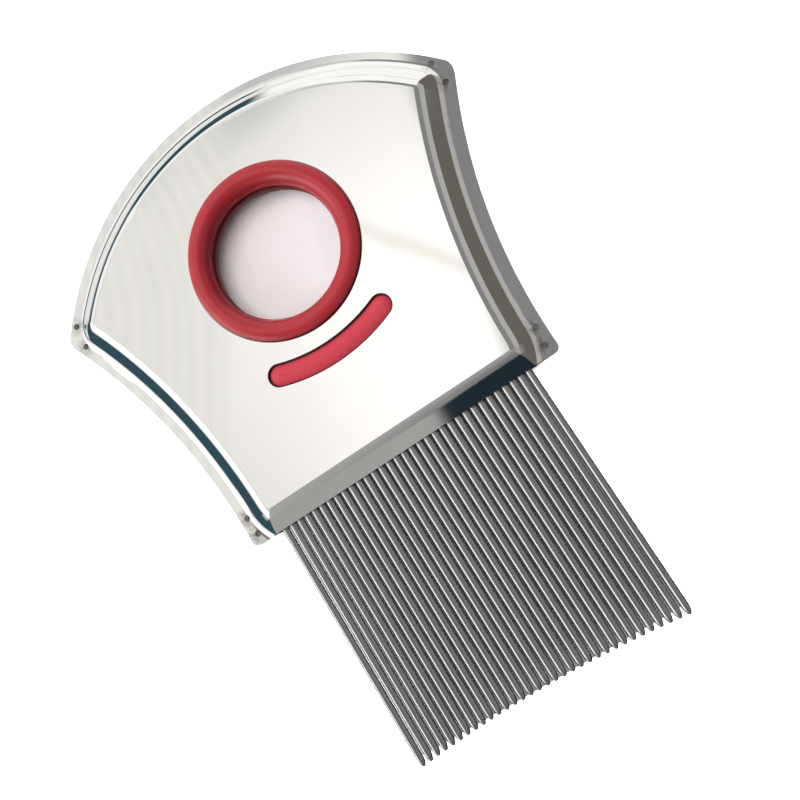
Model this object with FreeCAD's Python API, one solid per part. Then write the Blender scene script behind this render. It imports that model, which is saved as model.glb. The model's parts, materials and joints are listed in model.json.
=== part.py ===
"""Flea comb: a fan-shaped handle of two pressed steel halves round a magnifier, with 33 wire teeth.

Millimetres. The shapes are built in a working frame: Y runs from the tooth tips (Y = 0) to the crest
of the handle, X runs across the comb, and Z is measured from the plane where the two halves meet.
save() moves each piece to the part's own frame: the origin is under the middle of the comb, on the
plane of its back face, +Y points at the crest and +Z out of the front face.
"""
import FreeCAD
import Part
import math
import os

from FreeCAD import Placement, Rotation, Vector

# ---- handle, outside of the sheet ----
CREST_Y = 91.4            # top of the handle's rim, from the tooth tips
MOUTH_Y = 35.1            # cut lower end of the handle, where the teeth come out
FACE_Z = 2.66             # flat face, above the joint plane
SHEET = 0.4               # sheet thickness
FLANGE_WIDTH = 1.06       # flat rim
WALL_ANGLE = math.radians(39)
BEND_RADIUS = 2.0         # outer radius of the bends at both edges of the wall
TOP_RADIUS = 41.19        # rim outline: convex crest
SIDE_RADIUS = 82.3        # rim outline: concave sides
SIDE_CENTRE = Vector(-106.41, 36.58, 0)
UPPER_FACE_CORNER = 0.4   # corner radii of the raised face
LOWER_FACE_CORNER = 5.6
LOWER_CORNER_Y = 39.6
UPPER_RIM_CORNER = 2.0    # corner radii of the rim
LOWER_RIM_CORNER = 0.8

# ---- sloping facet above the teeth ----
FACET_EDGE_Y = 37.65
FACET_ANGLE = math.radians(32.5)
FACET_BEND = 2.0

# ---- magnifier ----
LENS_Y = 66.95
LENS_RADIUS = 10.0
LENS_EDGE_HALF = 1.7
LENS_CROWN = 0.8
LENS_HOLE_RADIUS = 11.2   # hole in both sheets
RING_FOOT_RADIUS = 11.98  # front ring where it sits on the sheet, under its bulging side
RING_BULGE_RADIUS = 12.5  # steering point of the side's curve, which reaches 12.17
RING_BULGE_RISE = 0.42
RING_SHOULDER_RADIUS = 11.85
RING_HEIGHT = 0.95        # front ring, above the face
RING_CREST_RADIUS = 10.85
RING_BROW_RADIUS = 10.05  # steering points of the inner slope's curve
RING_SLOPE_RISE = 0.35
RING_SLOPE_END_RADIUS = 9.25
RING_SLOPE_END_DROP = 0.6
RING_SKIRT_RADIUS = 11.1
RING_LIP_RADIUS = 9.1
RING_LIP_Z = 1.86
BACK_RING_MOUTH = 9.9     # inner radius of the flush rear ring at its outer face
BACK_RING_CHAMFER = 0.5
SEAT_DEPTH_Z = 1.8        # the lens bore ends here, and the ring's socket begins

# ---- curved insert under the lens ----
ARC_RADIUS = 23.9
ARC_Y = 50.9              # centreline at the middle of the comb
ARC_HALF_CHORD = 8.2
SLOT_WIDTH = 3.2
INSERT_WIDTH = 2.8        # domed bar that fills the slot
INSERT_RECESS = 0.08      # crown of the dome, below the face
INSERT_BASE_WIDTH = 5.1
INSERT_BASE_THICKNESS = 0.8

# ---- teeth ----
TOOTH_COUNT = 33
TOOTH_PITCH = 1.2
TOOTH_RADIUS = 0.5
TOOTH_ROOT_Y = 46.4
TOOTH_NOSE = 1.1          # length of the pointed end
TIP_BALL = 0.33           # radius of the blunted point
ROOT_CHAMFER = 0.1
TIP_SAG = 1.0             # the middle teeth are this much shorter than the outer ones
GROOVE_RADIUS = 0.52
GROOVE_END_Y = 46.5
CLAMP_START_Y = 36.3
CLAMP_END_Y = 47.0
CLAMP_HALF_WIDTH = 20.9

# ---- inner frame ----
GAP = 0.1                 # between the sheets and what they hold
FRAME_START_Y = 47.2
FRAME_EDGE = 1.77         # frame's upright edge, outside the face's edge
WEB_HALF = 0.7
POCKET_INSET = 1.5        # pockets stop this far inside the face's edge
LENS_BOSS_RADIUS = 13.4
RAIL_WIDTH = 1.8
INSERT_PAD_WIDTH = 7.5
RIB_THICKNESS = 1.2
RIB_ANGLES = (0, 45, 90, 135, 180, 215, 325)

# ---- welds, from the middle of the comb and from the tooth tips ----
WELD_PLACES = ((30.9, 76.1), (31.1, 72.8), (23.0, 39.1), (22.7, 36.6))
WELD_RADIUS = 0.45
WELD_CRATER = 0.06

# ---- worked out ----
FLANGE_TOP = SHEET
WALL_RISE = FACE_Z - FLANGE_TOP
BEND_RISE = BEND_RADIUS * (1 - math.cos(WALL_ANGLE))
BEND_RUN = BEND_RADIUS * math.sin(WALL_ANGLE)
WALL_WIDTH = 2 * BEND_RUN + (WALL_RISE - 2 * BEND_RISE) / math.tan(WALL_ANGLE)
BAND = FLANGE_WIDTH + WALL_WIDTH          # from the rim's outline to the face's edge
TOP_CENTRE = Vector(0, CREST_Y - TOP_RADIUS, 0)
TOP_FACE_RADIUS = TOP_RADIUS - BAND
SIDE_FACE_RADIUS = SIDE_RADIUS + BAND
LENS_CENTRE = Vector(0, LENS_Y, 0)
ARC_CENTRE = Vector(0, ARC_Y + ARC_RADIUS, 0)
ARC_HALF_ANGLE = math.asin(ARC_HALF_CHORD / ARC_RADIUS)
INSERT_CROWN = FACE_Z - INSERT_RECESS
INSERT_BASE_TOP = FACE_Z - SHEET - GAP / 2

UP = Vector(0, 0, 1)
ORIGIN = Vector(0, 0, 0)
REACH = 10.0              # cutting bodies stand this far past what they cut
NUDGE = 1.0               # the same, for cuts that must not reach the other half
HALF_TURN = 180.0
TO_PART_FRAME = Vector(0, -CREST_Y / 2, FACE_Z)


# ---- plan geometry ----
def on_circle(centre, radius, degrees):
    """Point at an angle on a circle in plan."""
    angle = math.radians(degrees)
    return centre + Vector(radius * math.cos(angle), radius * math.sin(angle), 0)


def bearing(start, end):
    """Direction from one plan point to another, in degrees from 0 to 360."""
    return math.degrees(math.atan2(end.y - start.y, end.x - start.x)) % 360


def circles_meet(centre_a, radius_a, centre_b, radius_b):
    """The upper of the two points where circles cross in plan."""
    step = centre_b - centre_a
    along = (step.Length ** 2 + radius_a ** 2 - radius_b ** 2) / (2 * step.Length)
    across = math.sqrt(radius_a ** 2 - along ** 2)
    unit = Vector(step).normalize()
    upward = Vector(-unit.y, unit.x, 0) * math.copysign(across, unit.x)
    return centre_a + unit * along + upward


def plan_arc(centre, radius, start, end):
    """Arc edge in plan between two angles in degrees."""
    middle = (start + end) / 2
    ends = [on_circle(centre, radius, angle) for angle in (start, middle, end)]
    return Part.Arc(*ends).toShape()


def plate(edges, low, high):
    """Solid over a closed plan outline, between two heights."""
    face = Part.Face(Part.Wire(Part.__sortEdges__(edges)))
    face.translate(UP * low)
    return face.extrude(UP * (high - low))


def mirrored_x(shape):
    return shape.mirror(ORIGIN, Vector(1, 0, 0))


def mirrored_z(shape):
    return shape.mirror(ORIGIN, UP)


def both_sides(shape):
    """A shape and its mirror image across the joint plane, as one."""
    return shape.fuse(mirrored_z(shape)).removeSplitter()


def box(x_from, x_to, y_from, y_to, z_from, z_to):
    return Part.makeBox(x_to - x_from, y_to - y_from, z_to - z_from, Vector(x_from, y_from, z_from))


def disc(centre, radius, low, high):
    return Part.makeCylinder(radius, high - low, centre + UP * low, UP)


UPPER_CENTRE = circles_meet(TOP_CENTRE, TOP_FACE_RADIUS - UPPER_FACE_CORNER,
                            SIDE_CENTRE, SIDE_FACE_RADIUS + UPPER_FACE_CORNER)
LOWER_REACH = SIDE_FACE_RADIUS + LOWER_FACE_CORNER
LOWER_RISE = LOWER_CORNER_Y - SIDE_CENTRE.y
LOWER_CENTRE = Vector(SIDE_CENTRE.x + math.sqrt(LOWER_REACH ** 2 - LOWER_RISE ** 2), LOWER_CORNER_Y, 0)


# ---- the pressed wall ----
def revolved(centre, face_radius, outward, start, end, profile):
    """Turn a (distance from the face's edge, height) profile about an upright axis.

    outward is +1 where the axis is inside the outline, and -1 where it is outside.
    """
    edges = []
    for points in profile:
        corners = [Vector(face_radius + outward * distance, 0, height) for distance, height in points]
        if len(corners) == 2:
            edges.append(Part.LineSegment(*corners).toShape())
        else:
            edges.append(Part.Arc(*corners).toShape())
    section = Part.Face(Part.Wire(edges))
    solid = section.revolve(ORIGIN, UP, end - start)
    solid.Placement = Placement(centre, Rotation(UP, start))
    return solid


def around_face(profile):
    """Sweep a profile round both sides and the crest, just outside the face's edge."""
    to_side_low = bearing(LOWER_CENTRE, SIDE_CENTRE)
    to_side_high = bearing(UPPER_CENTRE, SIDE_CENTRE)
    from_top = bearing(TOP_CENTRE, UPPER_CENTRE)
    side_low = bearing(SIDE_CENTRE, LOWER_CENTRE)
    side_high = bearing(SIDE_CENTRE, UPPER_CENTRE)
    straight_down = 270.0
    left = [
        revolved(LOWER_CENTRE, LOWER_FACE_CORNER, 1, to_side_low, straight_down, profile),
        revolved(SIDE_CENTRE, SIDE_FACE_RADIUS, -1, side_low, side_high, profile),
        revolved(UPPER_CENTRE, UPPER_FACE_CORNER, 1, from_top, to_side_high, profile),
    ]
    crest = revolved(TOP_CENTRE, TOP_FACE_RADIUS, 1, HALF_TURN - from_top, from_top, profile)
    return left + [mirrored_x(piece) for piece in left] + [crest]


def wall_gutter(depth):
    """Profile of everything above the wall and the rim, a given depth below the outer skin."""
    convex = BEND_RADIUS - depth
    concave = BEND_RADIUS + depth
    high_z = FACE_Z - BEND_RADIUS
    low_z = FLANGE_TOP + BEND_RADIUS
    half = WALL_ANGLE / 2

    def on_convex(angle):
        return (convex * math.sin(angle), high_z + convex * math.cos(angle))

    def on_concave(angle):
        return (WALL_WIDTH - concave * math.sin(angle), low_z - concave * math.cos(angle))

    edge = on_convex(0)
    foot = on_concave(0)
    far = WALL_WIDTH + REACH
    over = FACE_Z + REACH
    return [
        (edge, on_convex(half), on_convex(WALL_ANGLE)),
        (on_convex(WALL_ANGLE), on_concave(WALL_ANGLE)),
        (on_concave(WALL_ANGLE), on_concave(half), foot),
        (foot, (far, foot[1])),
        ((far, foot[1]), (far, over)),
        ((far, over), (edge[0], over)),
        ((edge[0], over), edge),
    ]


def upright_gutter(distance):
    """Profile of everything further than a distance outside the face's edge."""
    far = WALL_WIDTH + REACH
    low, high = -REACH, REACH
    corners = [(distance, low), (far, low), (far, high), (distance, high)]
    return [(corners[i], corners[(i + 1) % 4]) for i in range(4)]


def facet_cutter(depth):
    """Everything above the facet, a given depth below the outer skin."""
    bend = FACET_BEND - depth
    centre_y = FACET_EDGE_Y + FACET_BEND * math.tan(FACET_ANGLE / 2)
    centre_z = FACE_Z - FACET_BEND

    def on_bend(angle):
        return Vector(0, centre_y - bend * math.sin(angle), centre_z + bend * math.cos(angle))

    start = on_bend(0)
    bent = on_bend(FACET_ANGLE)
    end = bent - Vector(0, REACH, REACH * math.tan(FACET_ANGLE))
    over = FACE_Z + REACH
    above_end = Vector(0, end.y, over)
    above_start = Vector(0, start.y, over)
    edges = [
        Part.Arc(start, on_bend(FACET_ANGLE / 2), bent).toShape(),
        Part.LineSegment(bent, end).toShape(),
        Part.LineSegment(end, above_end).toShape(),
        Part.LineSegment(above_end, above_start).toShape(),
        Part.LineSegment(above_start, start).toShape(),
    ]
    half_width = CLAMP_HALF_WIDTH + REACH
    section = Part.Face(Part.Wire(edges))
    section.translate(Vector(-half_width, 0, 0))
    return section.extrude(Vector(2 * half_width, 0, 0))


def pressed_form(blank, depth):
    """A blank trimmed to the handle's front form, a given depth below the outer skin."""
    cutters = around_face(wall_gutter(depth)) + [facet_cutter(depth)]
    return blank.cut(cutters)


def rim_outline(low, high):
    """Flat plate with the rim's outline."""
    upper = circles_meet(TOP_CENTRE, TOP_RADIUS - UPPER_RIM_CORNER,
                         SIDE_CENTRE, SIDE_RADIUS + UPPER_RIM_CORNER)
    lower_y = MOUTH_Y + LOWER_RIM_CORNER
    reach = SIDE_RADIUS + LOWER_RIM_CORNER
    lower = Vector(SIDE_CENTRE.x + math.sqrt(reach ** 2 - (lower_y - SIDE_CENTRE.y) ** 2), lower_y, 0)
    from_top = bearing(TOP_CENTRE, upper)
    side_low = bearing(SIDE_CENTRE, lower) - 360
    left = [
        plan_arc(lower, LOWER_RIM_CORNER, bearing(lower, SIDE_CENTRE), 270),
        plan_arc(SIDE_CENTRE, SIDE_RADIUS, side_low, bearing(SIDE_CENTRE, upper)),
        plan_arc(upper, UPPER_RIM_CORNER, from_top, bearing(upper, SIDE_CENTRE)),
    ]
    edges = left + [mirrored_x(edge) for edge in left]
    edges.append(plan_arc(TOP_CENTRE, TOP_RADIUS, HALF_TURN - from_top, from_top))
    corner = Vector(lower.x, MOUTH_Y, 0)
    edges.append(Part.LineSegment(corner, Vector(-corner.x, corner.y, 0)).toShape())
    return plate(edges, low, high)


def arc_bar(width, low, high):
    """Curved bar with round ends, on the insert's centreline."""
    half = width / 2
    start = 270 - math.degrees(ARC_HALF_ANGLE)
    end = 270 + math.degrees(ARC_HALF_ANGLE)
    left_end = on_circle(ARC_CENTRE, ARC_RADIUS, start)
    right_end = on_circle(ARC_CENTRE, ARC_RADIUS, end)
    edges = [
        plan_arc(ARC_CENTRE, ARC_RADIUS + half, start, end),
        plan_arc(right_end, half, end, end + HALF_TURN),
        plan_arc(ARC_CENTRE, ARC_RADIUS - half, start, end),
        plan_arc(left_end, half, start - HALF_TURN, start),
    ]
    return plate(edges, low, high)


def cavity(depth):
    """Room inside the front half, a given depth below the outer skin."""
    return pressed_form(rim_outline(0, FACE_Z - depth), depth)


# ---- pieces ----
def weld_centres():
    right = [Vector(x, y, 0) for x, y in WELD_PLACES]
    return right + [Vector(-point.x, point.y, 0) for point in right]


def half_shell():
    """Pressed sheet with the lens hole and the weld holes, above the joint plane."""
    skin = pressed_form(rim_outline(0, FACE_Z), 0)
    half_width = CLAMP_HALF_WIDTH + REACH + LENS_RADIUS
    hollow_blank = box(-half_width, half_width, MOUTH_Y - NUDGE, CREST_Y + REACH, -REACH, FACE_Z - SHEET)
    hollow = pressed_form(hollow_blank, SHEET)
    holes = [disc(point, WELD_RADIUS, -NUDGE, NUDGE) for point in weld_centres()]
    holes.append(disc(LENS_CENTRE, LENS_HOLE_RADIUS, 0, FACE_Z + NUDGE))
    return skin.cut(hollow).cut(holes)


def make_front_shell():
    slot = arc_bar(SLOT_WIDTH, 0, FACE_Z + NUDGE)
    return half_shell().cut(slot)


def make_back_shell():
    return mirrored_z(half_shell())


def turned(edges):
    """Ring made by turning (radius, height) edges about the lens axis."""
    section = Part.Face(Part.Wire(edges))
    section.translate(LENS_CENTRE)
    return section.revolve(LENS_CENTRE, UP, 360)


def radial_lines(points):
    corners = [Vector(radius, 0, height) for radius, height in points]
    return [Part.LineSegment(a, b).toShape() for a, b in zip(corners, corners[1:])]


def bulge(points):
    """Smooth curve that leaves and arrives in the direction of its control points."""
    curve = Part.BezierCurve()
    curve.setPoles([Vector(radius, 0, height) for radius, height in points])
    return curve.toShape()


def make_front_lens_ring():
    top = FACE_Z + RING_HEIGHT
    foot = (RING_FOOT_RADIUS, FACE_Z)
    crest = (RING_CREST_RADIUS, top)
    slope_end = (RING_SLOPE_END_RADIUS, FACE_Z - RING_SLOPE_END_DROP)
    side = bulge([foot, (RING_BULGE_RADIUS, FACE_Z + RING_BULGE_RISE), (RING_SHOULDER_RADIUS, top), crest])
    slope = bulge([crest, (RING_BROW_RADIUS, top), (slope_end[0], FACE_Z + RING_SLOPE_RISE), slope_end])
    below = radial_lines([slope_end, (RING_LIP_RADIUS, RING_LIP_Z), (RING_SKIRT_RADIUS, RING_LIP_Z),
                          (RING_SKIRT_RADIUS, FACE_Z), foot])
    return turned([side, slope] + below)


def make_back_lens_ring():
    corners = [(RING_LIP_RADIUS, -RING_LIP_Z), (RING_SKIRT_RADIUS, -RING_LIP_Z),
               (RING_SKIRT_RADIUS, -FACE_Z), (BACK_RING_MOUTH, -FACE_Z),
               (RING_LIP_RADIUS, BACK_RING_CHAMFER - FACE_Z), (RING_LIP_RADIUS, -RING_LIP_Z)]
    return turned(radial_lines(corners))


def make_lens():
    """Biconvex glass with a ground edge."""
    middle = LENS_EDGE_HALF + LENS_CROWN
    sphere_radius = (LENS_RADIUS ** 2 + LENS_CROWN ** 2) / (2 * LENS_CROWN)
    half_way = LENS_RADIUS / 2
    drop = sphere_radius - math.sqrt(sphere_radius ** 2 - half_way ** 2)
    front = [Vector(0, 0, middle), Vector(half_way, 0, middle - drop), Vector(LENS_RADIUS, 0, LENS_EDGE_HALF)]
    back = [Vector(point.x, 0, -point.z) for point in reversed(front)]
    edges = [
        Part.Arc(*front).toShape(),
        Part.LineSegment(front[2], back[0]).toShape(),
        Part.Arc(*back).toShape(),
        Part.LineSegment(back[2], front[0]).toShape(),
    ]
    return turned(edges)


def domed_bar(width, low, edge_z, crown_z):
    """Curved bar with round ends and a domed top, on the insert's centreline."""
    half = width / 2
    rise = crown_z - edge_z
    dome_radius = (half ** 2 + rise ** 2) / (2 * rise)

    def on_dome(across):
        return (across, crown_z - dome_radius + math.sqrt(dome_radius ** 2 - across ** 2))

    crown = (0, crown_z)
    right_foot = (half, low)
    left_foot = (-half, low)
    whole = [
        (on_dome(-half), crown, on_dome(half)),
        (on_dome(half), right_foot),
        (right_foot, left_foot),
        (left_foot, on_dome(-half)),
    ]
    wedge = [
        (crown, on_dome(half / 2), on_dome(half)),
        (on_dome(half), right_foot),
        (right_foot, (0, low)),
        ((0, low), crown),
    ]
    start = 270 - math.degrees(ARC_HALF_ANGLE)
    end = 270 + math.degrees(ARC_HALF_ANGLE)
    left_end = on_circle(ARC_CENTRE, ARC_RADIUS, start)
    right_end = on_circle(ARC_CENTRE, ARC_RADIUS, end)
    bar = revolved(ARC_CENTRE, ARC_RADIUS, 1, start, end, whole)
    ends = [
        revolved(left_end, 0, 1, start - HALF_TURN, start, wedge),
        revolved(right_end, 0, 1, end, end + HALF_TURN, wedge),
    ]
    return bar.fuse(ends).removeSplitter()


def make_grip_arc():
    base_bottom = INSERT_BASE_TOP - INSERT_BASE_THICKNESS
    base = arc_bar(INSERT_BASE_WIDTH, base_bottom, INSERT_BASE_TOP)
    return base.fuse(domed_bar(INSERT_WIDTH, base_bottom, INSERT_BASE_TOP, INSERT_CROWN)).removeSplitter()


def frame_pocket():
    """Shallow pocket in one face of the inner frame, between its ribs and bosses."""
    top = FACE_Z
    half_width = CLAMP_HALF_WIDTH + REACH
    pocket = box(-half_width, half_width, FRAME_START_Y + RAIL_WIDTH, CREST_Y, WEB_HALF, top)
    pocket = pocket.common(disc(TOP_CENTRE, TOP_FACE_RADIUS - POCKET_INSET, 0, top))
    side = disc(SIDE_CENTRE, SIDE_FACE_RADIUS + POCKET_INSET, 0, top)
    solid_parts = [side, mirrored_x(side), disc(LENS_CENTRE, LENS_BOSS_RADIUS, 0, top)]
    solid_parts.append(arc_bar(INSERT_PAD_WIDTH, 0, top))
    for angle in RIB_ANGLES:
        rib = box(0, TOP_RADIUS, -RIB_THICKNESS / 2, RIB_THICKNESS / 2, 0, top)
        rib.Placement = Placement(LENS_CENTRE, Rotation(UP, angle))
        solid_parts.append(rib)
    return pocket.cut(solid_parts)


def make_core_frame():
    depth = SHEET + GAP
    top = FACE_Z - depth
    room = both_sides(cavity(depth))
    half_width = CLAMP_HALF_WIDTH + REACH
    frame = room.common(box(-half_width, half_width, FRAME_START_Y, CREST_Y, -top, top))
    frame = frame.cut(around_face(upright_gutter(FRAME_EDGE)))
    pocket = frame_pocket()
    frame = frame.cut([pocket, mirrored_z(pocket)])
    socket = RING_SKIRT_RADIUS + GAP / 2
    frame = frame.cut(disc(LENS_CENTRE, LENS_RADIUS + GAP / 2, -FACE_Z, FACE_Z))
    frame = frame.cut([disc(LENS_CENTRE, socket, SEAT_DEPTH_Z, FACE_Z),
                       disc(LENS_CENTRE, socket, -FACE_Z, -SEAT_DEPTH_Z)])
    recess_bottom = INSERT_BASE_TOP - INSERT_BASE_THICKNESS
    return frame.cut(arc_bar(INSERT_BASE_WIDTH + GAP, recess_bottom, FACE_Z))


def tooth_x(index):
    return (index - (TOOTH_COUNT - 1) / 2) * TOOTH_PITCH


def make_front_tooth_clamp():
    room = cavity(SHEET + GAP)
    bar = room.common(box(-CLAMP_HALF_WIDTH, CLAMP_HALF_WIDTH, CLAMP_START_Y, CLAMP_END_Y, 0, FACE_Z))
    bar = bar.cut(around_face(upright_gutter(FRAME_EDGE)))
    start = Vector(0, MOUTH_Y - NUDGE, 0)
    length = GROOVE_END_Y - start.y
    grooves = []
    for index in range(TOOTH_COUNT):
        place = start + Vector(tooth_x(index), 0, 0)
        grooves.append(Part.makeCylinder(GROOVE_RADIUS, length, place, Vector(0, 1, 0)))
    return bar.cut(grooves)


def tooth_outline(tip):
    """Half section of a tooth, beside the Y axis: a ball point, a curved nose, the wire and its root."""
    run = TOOTH_NOSE - TIP_BALL
    nose_radius = (TOOTH_RADIUS ** 2 + run ** 2 - TIP_BALL ** 2) / (2 * (TOOTH_RADIUS - TIP_BALL))
    nose_centre = Vector(TOOTH_RADIUS - nose_radius, tip + TOOTH_NOSE, 0)
    ball_centre = Vector(0, tip + TIP_BALL, 0)
    taper = math.atan2(run, nose_radius - TOOTH_RADIUS)

    def on_nose(angle):
        return nose_centre + Vector(math.cos(angle), -math.sin(angle), 0) * nose_radius

    def on_ball(angle):
        return ball_centre + Vector(math.cos(angle), -math.sin(angle), 0) * TIP_BALL

    root = Vector(0, TOOTH_ROOT_Y, 0)
    inward = Vector(TOOTH_RADIUS - ROOT_CHAMFER, TOOTH_ROOT_Y, 0)
    outward = Vector(TOOTH_RADIUS, TOOTH_ROOT_Y - ROOT_CHAMFER, 0)
    point = on_ball(math.pi / 2)
    straight = [point, root, inward, outward, on_nose(0)]
    edges = [Part.LineSegment(a, b).toShape() for a, b in zip(straight, straight[1:])]
    edges.append(Part.Arc(on_nose(0), on_nose(taper / 2), on_nose(taper)).toShape())
    edges.append(Part.Arc(on_nose(taper), on_ball((taper + math.pi / 2) / 2), point).toShape())
    return Part.Face(Part.Wire(edges))


def make_tooth(index):
    """Round wire with a bullet-shaped tip; the row of tips is a shallow curve."""
    x = tooth_x(index)
    outer_x = tooth_x(TOOTH_COUNT - 1)
    tip = TIP_SAG * (1 - (x / outer_x) ** 2)
    tooth = tooth_outline(tip).revolve(ORIGIN, Vector(0, 1, 0), 360)
    tooth.translate(Vector(x, 0, 0))
    return tooth


def make_spot_welds():
    half = SHEET - WELD_CRATER
    return Part.makeCompound([disc(point, WELD_RADIUS, -half, half) for point in weld_centres()])


def save(name, shape):
    shape.translate(TO_PART_FRAME)
    shape.exportStep("parts/%s.step" % name)
    print(name, len(shape.Solids), round(sum(solid.Volume for solid in shape.Solids), 3), shape.isValid())


def main():
    os.makedirs("parts", exist_ok=True)
    front_clamp = make_front_tooth_clamp()
    save("front_shell", make_front_shell())
    save("back_shell", make_back_shell())
    save("front_lens_ring", make_front_lens_ring())
    save("back_lens_ring", make_back_lens_ring())
    save("lens", make_lens())
    save("grip_arc", make_grip_arc())
    save("core_frame", make_core_frame())
    save("back_tooth_clamp", mirrored_z(front_clamp))
    save("front_tooth_clamp", front_clamp)
    save("spot_welds", make_spot_welds())
    for index in range(TOOTH_COUNT):
        save("tooth_%02d" % (index + 1), make_tooth(index))


main()
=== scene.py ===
"""Looks of the flea comb: finishes, small pressed and moulded details, floor, light and camera.

Everything is in metres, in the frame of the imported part: X across the comb, Y from the tooth tips to the
crest of the handle, Z out of the front face. The comb lies on its flat back, on the floor at z = 0.
"""

import json
import math

import bpy
from mathutils import Matrix, Vector


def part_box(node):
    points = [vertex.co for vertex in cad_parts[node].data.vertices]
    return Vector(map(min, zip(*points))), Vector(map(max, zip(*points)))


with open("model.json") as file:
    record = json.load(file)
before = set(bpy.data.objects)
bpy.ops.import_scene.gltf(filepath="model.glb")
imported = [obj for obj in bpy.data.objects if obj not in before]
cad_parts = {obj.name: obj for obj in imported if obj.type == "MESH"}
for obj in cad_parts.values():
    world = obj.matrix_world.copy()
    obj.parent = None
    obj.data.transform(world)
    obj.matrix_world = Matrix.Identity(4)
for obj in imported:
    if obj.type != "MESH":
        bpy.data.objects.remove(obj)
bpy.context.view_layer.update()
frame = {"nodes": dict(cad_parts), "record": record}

MM = 0.001

# Camera: nearly overhead, turned so that the teeth point to the lower right.
CAMERA_PLACE = Vector((18.318, -19.419, 98.516)) * MM
CAMERA_LOOK = Vector((-0.15282, 0.15074, -0.97669))
CAMERA_UP = Vector((0.5403, 0.8415, 0.0))
CAMERA_LENS = 33.697

# Light: a pale studio with one large soft window behind and to the left.
FLOOR_SIZE = 2.0
FLOOR_GAP = 0.02 * MM
FLOOR_ALBEDO = 0.80
FLOOR_SUN_STRENGTH = 8.0
FLOOR_SUN_ELEVATION = 40.0
FLOOR_SUN_SPREAD = 0.3
CEILING_GREY = (0.250, 0.250, 0.255)
TABLE_TEAL = (0.033, 0.080, 0.108)
TABLE_GREY = (0.062, 0.060, 0.058)
TABLE_HORIZON = 2.0
WINDOW_DIM = (0.900, 0.885, 0.855)
WINDOW_TOP = (0.610, 0.620, 0.625)
FOLD_COOL = (0.790, 0.806, 0.818)
FOLD_WARM = (1.000, 0.965, 0.890)
WINDOW_BAR = (0.900, 0.860, 0.820)
WINDOW_BRIGHT = (1.290, 1.270, 1.235)

# Window bar in the steel: its line in ceiling coordinates (x factor, y factor, offset), distances from
# the line where it has faded out and where it is full, and its opacity.
BAR_LINE = (0.824, 0.566, -0.160)
BAR_FADE = (0.018, 0.002)
BAR_OPACITY = 0.75

# Curtain folds in the steel, left of the window: where they begin and are full, across the folds; how far
# they swing round; their phase per unit of ceiling; the wander of the folds; their opacity.
CURTAIN_FADE = (-0.44, -0.52)
CURTAIN_SWING = 1.17
CURTAIN_PHASE = 240.0
CURTAIN_WANDER_SCALE = 14.0
CURTAIN_WANDER = 9.0
CURTAIN_OPACITY = 0.8

# Softbox behind and to the left: place, target, size and power.
SOFTBOX = (Vector((-0.25, 0.30, 0.55)), Vector((0.0, 0.0, 0.0)), 0.5, 3.0)

# Sheet that shades the floor under the rows of teeth: x and y from and to, and height.
SHADE_PLACE = (-0.0202, 0.0194, -0.0452, -0.0100, 0.0004)

# Lamps that light the floor under the lens through the ring: place relative to the lens, radius, cone in
# degrees, power and colour. The low one reaches only the far side of the opening.
LENS_LAMPS = {
    "lens_lamp_high": (Vector((-0.060, 0.085, 0.300)), 0.10, 46.0, 5.6, (1.0, 0.880, 0.865)),
    "lens_lamp_low": (Vector((-0.270, 0.060, 0.170)), 0.06, 30.0, 1.8, (0.80, 0.91, 1.0)),
}

# Weld spots on the right; the left ones mirror them.
WELDS = ((30.9, 30.4), (31.1, 27.1), (23.0, -6.6), (22.7, -9.1))

# Heat tint round a weld: distances from its middle where it has faded out and where it is full.
WELD_TINT_FADE = (1.9 * MM, 0.4 * MM)

# Painted shadow and reddish painted reflection of the ring, drawn as a dark line on the steel round the red
# ring:
# distances from the middle of the lens where it has faded out and where it is full.
RING_SHADOW_FADE = (12.40 * MM, 12.24 * MM)

# Line where the flat face folds down to the mirror facet above the teeth, and the dulled strip along it:
# distances from the line where it has faded out and where it is full.
FACET_FOLD_Y = -8.05 * MM
FOLD_FADE = (0.75 * MM, 0.35 * MM)

# Painted shade in the slot round the domed insert, darkening its lowest edges: depths under the face where
# it begins and where it is full.
SLOT_SHADE_DEPTHS = (0.395 * MM, 0.450 * MM)

# Depth of the pressed face above the joint of the two halves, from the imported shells.
JOINT_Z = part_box("back_shell")[1].z
FACE_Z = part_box("front_shell")[1].z
LENS_CENTRE = (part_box("lens")[0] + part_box("lens")[1]) / 2


# ------------------------------------------------------------------ node helpers


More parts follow.
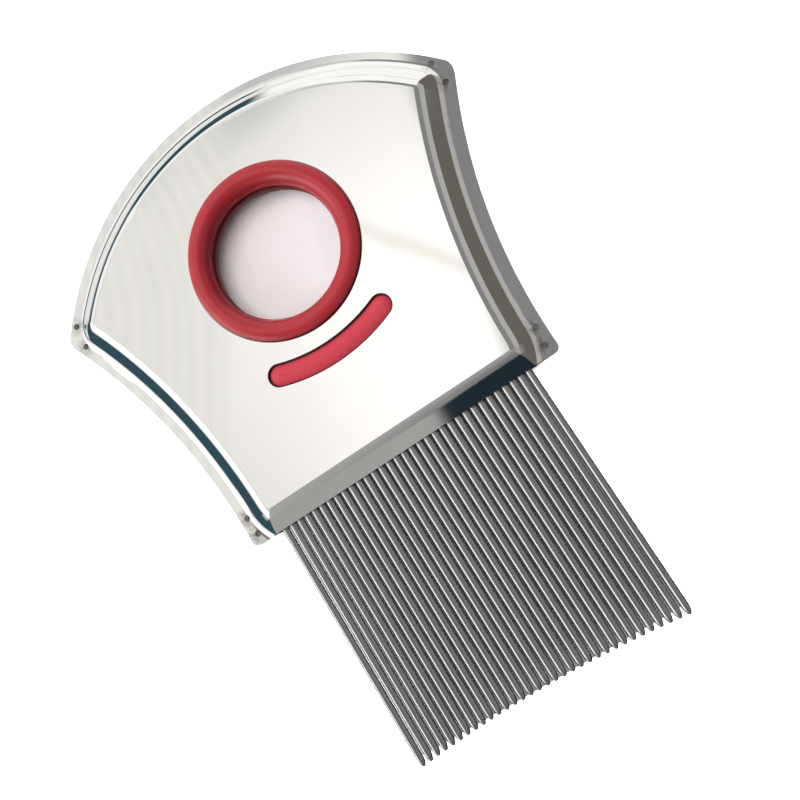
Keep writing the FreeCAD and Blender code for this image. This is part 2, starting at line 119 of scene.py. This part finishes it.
class Wiring:
    """Short calls that build one shader node tree."""

    def __init__(self, tree):
        self.tree = tree
        tree.nodes.clear()

    def feed(self, socket, value):
        """Links a socket to another, or sets its constant."""
        if isinstance(value, bpy.types.NodeSocket):
            self.tree.links.new(value, socket)
        else:
            socket.default_value = value

    def node(self, kind, inputs=None, **properties):
        made = self.tree.nodes.new("ShaderNode" + kind)
        for name, value in properties.items():
            setattr(made, name, value)
        for socket, value in (inputs or {}).items():
            self.feed(made.inputs[socket], value)
        return made

    def math(self, operation, *values):
        made = self.node("Math", operation=operation)
        for socket, value in zip(made.inputs, values):
            self.feed(socket, value)
        return made.outputs[0]

    def step(self, value, low, high):
        """Smooth step from 0 at low to 1 at high; low may be the larger."""
        made = self.node("MapRange", interpolation_type="SMOOTHSTEP")
        for socket, number in zip(made.inputs, (value, low, high, 0.0, 1.0)):
            self.feed(socket, number)
        return made.outputs[0]

    def distance(self, x, y, centre_x, centre_y):
        """Distance in plan from a centre."""
        across = self.math("POWER", self.math("SUBTRACT", x, centre_x), 2.0)
        along = self.math("POWER", self.math("SUBTRACT", y, centre_y), 2.0)
        return self.math("SQRT", self.math("ADD", across, along))

    def blend(self, amount, first, second):
        """Colour mix: first where amount is 0, second where it is 1."""
        made = self.node("Mix", data_type="RGBA")
        for index, value in ((0, amount), (6, first), (7, second)):
            if isinstance(value, tuple) and len(value) == 3:
                value = (*value, 1.0)
            self.feed(made.inputs[index], value)
        return made.outputs[2]

    def noise(self, vector, scale, detail=2.0, roughness=0.5):
        inputs = {"Vector": vector, "Scale": scale, "Detail": detail, "Roughness": roughness}
        return self.node("TexNoise", inputs).outputs[0]

    def stretched(self, vector, factors):
        made = self.node("Mapping", {"Vector": vector, "Scale": factors})
        return made.outputs[0]

    def bump(self, height, distance, strength=1.0, normal=None):
        inputs = {"Height": height, "Distance": distance, "Strength": strength}
        if normal is not None:
            inputs["Normal"] = normal
        return self.node("Bump", inputs).outputs[0]


def material(name):
    """A new material, its wiring and its object coordinates in metres."""
    made = bpy.data.materials.new(name)
    made.use_nodes = True
    wiring = Wiring(made.node_tree)
    place = wiring.node("TexCoord").outputs["Object"]
    return made, wiring, place


def surface(wiring, **inputs):
    """Ends the tree in one Principled shader."""
    sockets = {name.replace("_", " "): value for name, value in inputs.items()}
    shader = wiring.node("BsdfPrincipled", sockets)
    out = wiring.node("OutputMaterial")
    wiring.tree.links.new(shader.outputs[0], out.inputs["Surface"])
    return shader


# ------------------------------------------------------------------ finishes


def shell_steel():
    """Pressed stainless sheet: satin faces, mirror rim and bends, dull sheared edges, heat tint at the
    welds, and a dark line round the ring that is a painted shadow with a reddish painted reflection of the
    ring."""
    made, w, place = material("pressed_stainless_steel")
    along = w.noise(w.stretched(place, (900.0, 60.0, 900.0)), 1.0, 3.0, 0.6)
    cloud = w.noise(place, 55.0, 3.0, 0.55)
    specks = w.noise(place, 2600.0, 2.0, 0.6)
    part = w.node("SeparateXYZ", {0: place})
    from_joint = w.math("ABSOLUTE", w.math("SUBTRACT", part.outputs[2], JOINT_Z))
    on_face = w.step(from_joint, 0.93 * (FACE_Z - JOINT_Z), 0.995 * (FACE_Z - JOINT_Z))
    rough = w.math("MULTIPLY_ADD", on_face, w.math("MULTIPLY_ADD", cloud, 0.02, 0.005), 0.037)
    from_fold = w.math("ABSOLUTE", w.math("SUBTRACT", part.outputs[1], FACET_FOLD_Y))
    raised = w.step(from_joint, 0.60 * (FACE_Z - JOINT_Z), 0.80 * (FACE_Z - JOINT_Z))
    pressed = w.math("MULTIPLY", w.step(from_fold, *FOLD_FADE), raised)
    rough = w.math("MULTIPLY_ADD", pressed, 0.30, rough)
    rough = w.math("MULTIPLY_ADD", along, 0.015, rough)
    tint = w.blend(w.step(cloud, 0.35, 0.65), (0.850, 0.842, 0.826), (0.880, 0.873, 0.860))
    dull = w.step(specks, 0.70, 0.82)
    tint = w.blend(w.math("MULTIPLY", dull, 0.20), tint, (0.62, 0.61, 0.60))

    upright = w.node("SeparateXYZ", {0: w.node("NewGeometry").outputs["True Normal"]}).outputs[2]
    sheared = w.step(w.math("ABSOLUTE", upright), 0.30, 0.12)
    tint = w.blend(sheared, tint, (0.24, 0.235, 0.23))
    rough = w.math("MULTIPLY_ADD", sheared, 0.35, rough)

    # Painted shadow and reddish painted reflection of the ring: a dark line on the steel just outside the
    # ring.
    from_lens = w.distance(part.outputs[0], part.outputs[1], LENS_CENTRE.x, LENS_CENTRE.y)
    at_front = w.step(part.outputs[2], JOINT_Z, JOINT_Z + MM)
    ring_shadow = w.math("MULTIPLY", w.step(from_lens, *RING_SHADOW_FADE), at_front)
    tint = w.blend(ring_shadow, tint, (0.130, 0.028, 0.030))

    beside = w.math("ABSOLUTE", part.outputs[0])
    burn = None
    for x, y in WELDS:
        spot = w.step(w.distance(beside, part.outputs[1], x * MM, y * MM), *WELD_TINT_FADE)
        burn = spot if burn is None else w.math("MAXIMUM", burn, spot)
    mottle = w.step(w.noise(place, 1500.0, 3.0, 0.65), 0.40, 0.62)
    burn = w.math("MULTIPLY", burn, w.math("MULTIPLY_ADD", mottle, 0.55, 0.25))
    tint = w.blend(burn, tint, (0.36, 0.34, 0.32))
    rough = w.math("MULTIPLY_ADD", burn, 0.22, rough)

    waves = w.noise(w.stretched(place, (1.0, 0.7, 1.0)), 95.0, 1.0, 0.4)
    normal = w.bump(w.math("MULTIPLY", waves, on_face), 0.00002)
    normal = w.bump(along, 0.0000004, normal=normal)
    surface(w, Base_Color=tint, Metallic=1.0, Roughness=rough, Normal=normal)
    return made


def tooth_steel():
    """Ground round wire with fine rings round it from the grinding."""
    made, w, place = material("ground_steel_wire")
    rings = w.noise(w.stretched(place, (150.0, 7000.0, 150.0)), 1.0, 2.0, 0.5)
    cloud = w.noise(place, 120.0, 3.0, 0.6)
    tint = w.blend(cloud, (0.42, 0.415, 0.42), (0.50, 0.495, 0.49))
    rough = w.math("MULTIPLY_ADD", rings, 0.10, 0.22)
    normal = w.bump(rings, 0.0000015)
    surface(w, Base_Color=tint, Metallic=1.0, Roughness=rough, Normal=normal)
    return made


def weld_steel():
    """Heat-darkened nugget of a spot weld."""
    made, w, place = material("heat_darkened_steel")
    grain = w.noise(place, 3500.0, 4.0, 0.65)
    cloud = w.noise(place, 1200.0, 2.0, 0.5)
    tint = w.blend(w.step(cloud, 0.3, 0.7), (0.10, 0.092, 0.084), (0.27, 0.26, 0.25))
    rough = w.math("MULTIPLY_ADD", grain, 0.35, 0.28)
    normal = w.bump(grain, 0.00003)
    surface(w, Base_Color=tint, Metallic=1.0, Roughness=rough, Normal=normal)
    return made


def ring_red():
    """Satin moulded red plastic."""
    made, w, place = material("satin_red_plastic")
    cloud = w.noise(place, 160.0, 3.0, 0.55)
    peel = w.noise(place, 1100.0, 2.0, 0.5)
    tint = w.blend(cloud, (0.345, 0.014, 0.022), (0.420, 0.023, 0.033))
    rough = w.math("MULTIPLY_ADD", peel, 0.08, 0.25)
    normal = w.bump(peel, 0.0000015)
    surface(w, Base_Color=tint, Roughness=rough, IOR=1.49, Normal=normal)
    return made


def arc_red():
    """Matt moulded red plastic with a fine spark-eroded grain."""
    made, w, place = material("matt_red_plastic")
    cloud = w.noise(place, 300.0, 3.0, 0.6)
    grain = w.noise(place, 5200.0, 3.0, 0.7)
    tint = w.blend(w.step(grain, 0.25, 0.75), (0.500, 0.028, 0.052), (0.640, 0.060, 0.085))
    tint = w.blend(w.math("MULTIPLY", cloud, 0.35), tint, (0.560, 0.050, 0.070))
    part = w.node("SeparateXYZ", {0: place})
    # Painted shade: the lowest edges of the domed insert, down in its slot, are darkened.
    slot_shade = w.step(part.outputs[2], FACE_Z - SLOT_SHADE_DEPTHS[0], FACE_Z - SLOT_SHADE_DEPTHS[1])
    tint = w.blend(slot_shade, tint, (0.100, 0.012, 0.018))
    normal = w.bump(grain, 0.000030)
    surface(w, Base_Color=tint, Roughness=0.62, IOR=1.49, Normal=normal)
    return made


def frame_plastic():
    """Dark moulding that holds the lens and the roots of the teeth."""
    made, w, place = material("dark_moulded_plastic")
    grain = w.noise(place, 3000.0, 3.0, 0.6)
    tint = w.blend(grain, (0.055, 0.056, 0.060), (0.105, 0.105, 0.110))
    normal = w.bump(grain, 0.000010)
    surface(w, Base_Color=tint, Roughness=0.5, Normal=normal)
    return made


def lens_glass():
    """Clear acrylic magnifier with faint wiping haze."""
    made, w, place = material("clear_lens")
    haze = w.noise(w.stretched(place, (1.0, 0.35, 1.0)), 420.0, 4.0, 0.6)
    rough = w.math("MULTIPLY", w.step(haze, 0.45, 0.85), 0.05)
    tint = w.blend(haze, (0.985, 0.985, 0.995), (0.955, 0.960, 0.975))
    surface(w, Base_Color=tint, Roughness=rough, IOR=1.49, Transmission_Weight=1.0)
    return made


FINISHES = {
    "shell_steel": shell_steel,
    "tooth_steel": tooth_steel,
    "weld_steel": weld_steel,
    "ring_red": ring_red,
    "arc_red": arc_red,
    "frame_plastic": frame_plastic,
    "lens_glass": lens_glass,
}


def dress_nodes():
    """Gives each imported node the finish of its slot."""
    finishes = {slot: make() for slot, make in FINISHES.items()}
    for entry in frame["record"]["subparts"]:
        materials = frame["nodes"][entry["node"]].data.materials
        for index in range(len(materials)):
            materials[index] = finishes[entry["material_slot"]]


# ------------------------------------------------------------------ stage


def make_floor():
    mesh = bpy.data.meshes.new("floor")
    half = FLOOR_SIZE / 2
    corners = [(-half, -half, 0.0), (half, -half, 0.0), (half, half, 0.0), (-half, half, 0.0)]
    mesh.from_pydata(corners, [], [(0, 1, 2, 3)])
    floor = bpy.data.objects.new("floor", mesh)
    floor.location.z = -FLOOR_GAP
    bpy.context.scene.collection.objects.link(floor)
    made, w, place = material("pale_floor")
    fleck = w.noise(place, 900.0, 3.0, 0.6)
    paper = w.blend(fleck, (FLOOR_ALBEDO - 0.02,) * 3, (FLOOR_ALBEDO,) * 3)
    surface(w, Base_Color=paper, Roughness=0.9)
    mesh.materials.append(made)
    floor.visible_glossy = False
    return floor


def light_floor(floor):
    """Two low suns, left and right, that reach only the floor: it stays white up to the comb, and dark
    under the rows of teeth, which block them."""
    lit = bpy.data.collections.new("floor_only")
    lit.objects.link(floor)
    for name, azimuth in (("floor_sun_left", -90.0), ("floor_sun_right", 90.0)):
        light = bpy.data.lights.new(name, "SUN")
        light.energy = FLOOR_SUN_STRENGTH
        light.angle = FLOOR_SUN_SPREAD
        lamp = bpy.data.objects.new(name, light)
        lamp.rotation_euler = (math.radians(90.0 - FLOOR_SUN_ELEVATION), 0.0, math.radians(180.0 - azimuth))
        lamp.light_linking.receiver_collection = lit
        lamp.visible_glossy = False
        bpy.context.scene.collection.objects.link(lamp)


def make_shade():
    """A sheet under the teeth that only blocks light: the floor stays dark between the teeth."""
    x_low, x_high, y_low, y_high, height = SHADE_PLACE
    mesh = bpy.data.meshes.new("shade")
    plan = ((x_low, y_low), (x_high, y_low), (x_high, y_high), (x_low, y_high))
    corners = [(x, y, height) for x, y in plan]
    mesh.from_pydata(corners, [], [(0, 1, 2, 3)])
    shade = bpy.data.objects.new("shade", mesh)
    bpy.context.scene.collection.objects.link(shade)
    made, w, place = material("shade_card")
    fleck = w.noise(place, 900.0, 3.0, 0.6)
    surface(w, Base_Color=w.blend(fleck, (0.01, 0.01, 0.01), (0.02, 0.02, 0.02)), Roughness=1.0)
    mesh.materials.append(made)
    for ray in ("camera", "diffuse", "glossy", "transmission", "volume_scatter"):
        setattr(shade, "visible_" + ray, False)
    return shade


# Soft cards round the comb: azimuth from +Y clockwise seen from above, elevation above the floor, both in
# degrees, as (centre azimuth, half width, centre elevation, half height, softness, colour).
CARDS = {
    "sky_left": (-60.0, 78.0, 17.0, 17.0, 4.0, (1.02, 1.02, 1.01)),
    "dark_table_back": (-23.0, 27.0, 3.0, 4.5, 4.0, TABLE_TEAL),
    "left_strip": (-95.0, 30.0, 30.0, 12.0, 10.0, (3.00, 3.00, 2.95)),
    "back_wall_right": (30.0, 20.0, 24.0, 22.0, 6.0, (1.10, 1.10, 1.08)),
    "pale_wall_right": (90.0, 38.0, 33.0, 16.0, 10.0, (0.465, 0.460, 0.446)),
    "brown_wall_right": (90.0, 42.0, 5.0, 12.0, 4.0, (0.148, 0.135, 0.120)),
    "bright_table_back": (24.0, 22.0, -16.0, 17.0, 5.0, (1.08, 1.08, 1.07)),
    "pale_table_left": (-37.0, 9.0, -25.0, 14.0, 8.0, (0.330, 0.370, 0.400)),
    "grey_screen_front": (-166.0, 22.0, 44.0, 26.0, 8.0, (0.400, 0.395, 0.388)),
    "navy_screen_front": (178.0, 10.0, 44.0, 24.0, 2.0, (0.014, 0.026, 0.034)),
}


def card_mask(w, direction, elevation, azimuth, half_width, centre, half_height, softness):
    """1 inside one soft card, 0 outside it."""
    turn = {"Vector": direction, "Angle": math.radians(azimuth)}
    turned = w.node("VectorRotate", turn, rotation_type="Z_AXIS")
    part = w.node("SeparateXYZ", {0: turned.outputs[0]})
    across = w.math("ABSOLUTE", w.math("DEGREES", w.math("ARCTAN2", part.outputs[0], part.outputs[1])))
    up = w.math("ABSOLUTE", w.math("SUBTRACT", elevation, centre))
    wide = w.step(across, half_width + softness / 2, half_width - softness / 2)
    high = w.step(up, half_height + softness / 2, half_height - softness / 2)
    return w.math("MULTIPLY", wide, high)


def make_world():
    """Studio light by direction: grey ceiling, one big soft window behind and left, soft cards low down."""
    world = bpy.data.worlds.new("studio")
    world.use_nodes = True
    bpy.context.scene.world = world
    w = Wiring(world.node_tree)
    direction = w.node("TexCoord").outputs["Generated"]
    part = w.node("SeparateXYZ", {0: direction})
    height = w.math("MAXIMUM", part.outputs[2], 0.02)
    elevation = w.math("DEGREES", w.math("ARCSINE", part.outputs[2]))
    over_x = w.math("DIVIDE", part.outputs[0], height)
    over_y = w.math("DIVIDE", part.outputs[1], height)

    edge = w.math("MULTIPLY_ADD", over_y, 0.25, -0.0265)
    beside = w.math("SUBTRACT", over_x, edge)
    window = w.math("MULTIPLY", w.step(beside, 0.018, -0.022), w.step(over_y, 0.04, 0.12))
    from_peak = w.math("SQRT", w.math("ADD", w.math("POWER", over_x, 2.0),
                                      w.math("POWER", w.math("SUBTRACT", over_y, 0.2), 2.0)))
    glow = w.blend(w.step(from_peak, 0.50, 0.05), WINDOW_DIM, WINDOW_BRIGHT)
    glow = w.blend(w.step(over_y, 0.57, 0.66), glow, WINDOW_TOP)
    x_factor, y_factor, offset = BAR_LINE
    bar = w.math("ADD", w.math("MULTIPLY", over_x, x_factor),
                 w.math("MULTIPLY_ADD", over_y, y_factor, offset))
    bar = w.step(w.math("ABSOLUTE", bar), *BAR_FADE)
    glow = w.blend(w.math("MULTIPLY", bar, BAR_OPACITY), glow, WINDOW_BAR)

    fold_place = w.math("ADD", w.math("MULTIPLY", over_x, 0.84), w.math("MULTIPLY", over_y, -0.54))
    drawn = w.step(fold_place, *CURTAIN_FADE)
    along = w.math("ADD", w.math("MULTIPLY", over_x, 0.54), w.math("MULTIPLY_ADD", over_y, 0.84, -0.12))
    swing = w.math("MULTIPLY", w.math("POWER", w.math("MAXIMUM", along, 0.0), 2.0), CURTAIN_SWING)
    swung = w.math("ADD", fold_place, swing)
    wander = w.noise(w.node("CombineXYZ", {0: swung}).outputs[0], CURTAIN_WANDER_SCALE, 1.0, 0.4)
    wander = w.math("MULTIPLY", wander, CURTAIN_WANDER)
    fold = w.math("SINE", w.math("MULTIPLY_ADD", swung, CURTAIN_PHASE, wander))
    folds = w.blend(w.step(fold, -0.8, 0.8), FOLD_COOL, FOLD_WARM)
    glow = w.blend(w.math("MULTIPLY", drawn, CURTAIN_OPACITY), glow, folds)

    colour = w.blend(window, CEILING_GREY, glow)
    grey_table = w.math("MAXIMUM", w.step(part.outputs[0], 0.35, 0.55), w.step(elevation, -28.0, -38.0))
    table = w.blend(grey_table, TABLE_TEAL, TABLE_GREY)
    colour = w.blend(w.step(elevation, TABLE_HORIZON + 1.0, TABLE_HORIZON - 1.0), colour, table)
    for azimuth, half_width, centre, half_height, softness, card in CARDS.values():
        mask = card_mask(w, direction, elevation, azimuth, half_width, centre, half_height, softness)
        colour = w.blend(mask, colour, card)

    seen = w.node("LightPath").outputs["Is Camera Ray"]
    colour = w.blend(seen, colour, (1.0, 1.0, 1.0))
    light = w.node("Background", {"Color": colour, "Strength": 1.0})
    out = w.node("OutputWorld")
    w.tree.links.new(light.outputs[0], out.inputs["Surface"])


def add_softbox():
    """Round area lamp that isn't mirrored in the steel or seen through the lens."""
    place, target, size, power = SOFTBOX
    light = bpy.data.lights.new("overhead_softbox", "AREA")
    light.shape = "DISK"
    light.size = size
    light.energy = power
    lamp = bpy.data.objects.new("overhead_softbox", light)
    lamp.location = place
    lamp.rotation_euler = (target - place).to_track_quat("-Z", "Y").to_euler()
    lamp.visible_glossy = False
    lamp.visible_transmission = False
    bpy.context.scene.collection.objects.link(lamp)


def add_lens_lamps(floor, shade):
    """Spot lamps that reach the floor inside the ring, as if the lens let them through."""
    lit = bpy.data.collections.new("under_lens")
    lit.objects.link(floor)
    blockers = bpy.data.collections.new("lens_lamp_blockers")
    blockers.objects.link(shade)
    for name, node in frame["nodes"].items():
        if name != "lens":
            blockers.objects.link(node)
    for name, (offset, radius, cone, power, colour) in LENS_LAMPS.items():
        light = bpy.data.lights.new(name, "SPOT")
        light.energy = power
        light.color = colour
        light.spot_size = math.radians(cone)
        light.spot_blend = 0.4
        light.shadow_soft_size = radius
        lamp = bpy.data.objects.new(name, light)
        lamp.location = LENS_CENTRE + offset
        lamp.rotation_euler = (-offset).to_track_quat("-Z", "Y").to_euler()
        lamp.light_linking.receiver_collection = lit
        lamp.light_linking.blocker_collection = blockers
        lamp.visible_glossy = False
        lamp.visible_transmission = False
        bpy.context.scene.collection.objects.link(lamp)


def make_camera():
    look = CAMERA_LOOK.normalized()
    right = look.cross(CAMERA_UP).normalized()
    up = right.cross(look)
    camera = bpy.data.cameras.new("camera")
    camera.lens = CAMERA_LENS
    camera.sensor_width = 36.0
    camera.clip_start = 0.001
    seat = bpy.data.objects.new("camera", camera)
    turn = Matrix((right, up, -look)).transposed().to_4x4()
    seat.matrix_world = Matrix.Translation(CAMERA_PLACE) @ turn
    bpy.context.scene.collection.objects.link(seat)
    bpy.context.scene.camera = seat


make_camera()
dress_nodes()
floor = make_floor()
light_floor(floor)
shade = make_shade()
make_world()
add_softbox()
add_lens_lamps(floor, shade)
bpy.context.scene.view_settings.view_transform = "Standard"
